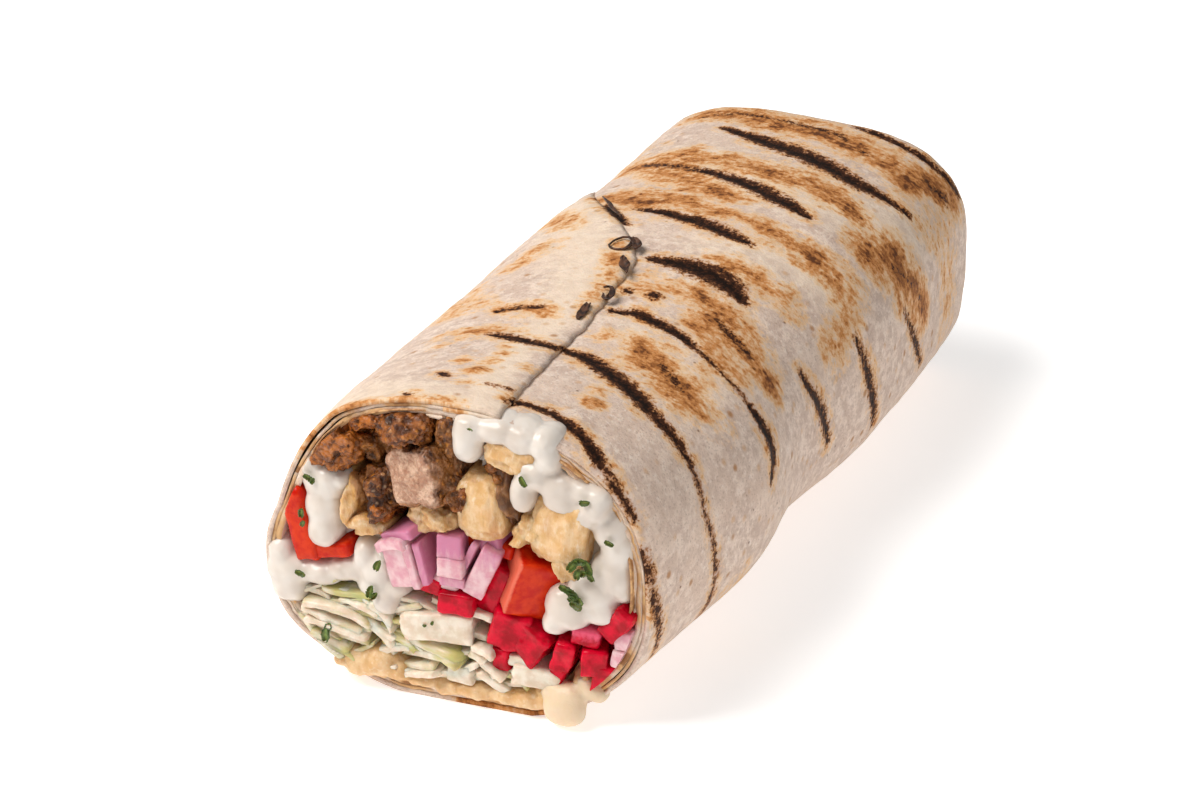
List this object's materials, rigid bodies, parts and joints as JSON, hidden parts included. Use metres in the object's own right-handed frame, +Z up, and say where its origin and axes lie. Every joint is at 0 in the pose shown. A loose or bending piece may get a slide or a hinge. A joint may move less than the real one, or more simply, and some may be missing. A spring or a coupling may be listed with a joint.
{
  "type": "gyro wrap",
  "caption": "Grilled flatbread rolled tightly round meat, chicken, salad, pickles and white sauce, cut across at one end and folded shut at the other.",
  "frame": {"origin": "on the surface that the wrap lies on, under the middle of its bounding box", "axes": "+Z up; +Y along the roll, from the cut end to the folded end; +X to the right as one faces the cut end"},
  "size_m": [0.0934, 0.2, 0.0701],
  "materials": {
    "tortilla": "soft floury bread, pale beige, with toasted patches and dark grill marks",
    "gyro_meat": "roasted brown meat, craggy and slightly glossy",
    "chicken": "roasted chicken, pale tan and fibrous with browned edges",
    "tomato": "wet cut tomato, orange red",
    "red_onion": "moist diced onion, white running to pink and purple",
    "pickled_turnip": "glossy pickle, deep crimson",
    "hummus": "smooth tan paste, softly lumpy",
    "cabbage": "moist shreds, cream white to pale green",
    "white_sauce": "thick white sauce with flecks of green herb"
  },
  "bodies": {
    "root": {"tortilla": "tortilla", "gyro_meat": "gyro_meat", "chicken": "chicken", "chicken_left": "chicken", "tomato": "tomato", "tomato_left": "tomato", "red_onion": "red_onion", "red_onion_right": "red_onion", "pickled_turnip": "pickled_turnip", "hummus": "hummus", "cabbage": "cabbage", "white_sauce_middle": "white_sauce", "white_sauce_left": "white_sauce", "white_sauce_right": "white_sauce"}
  },
  "joints": []
}
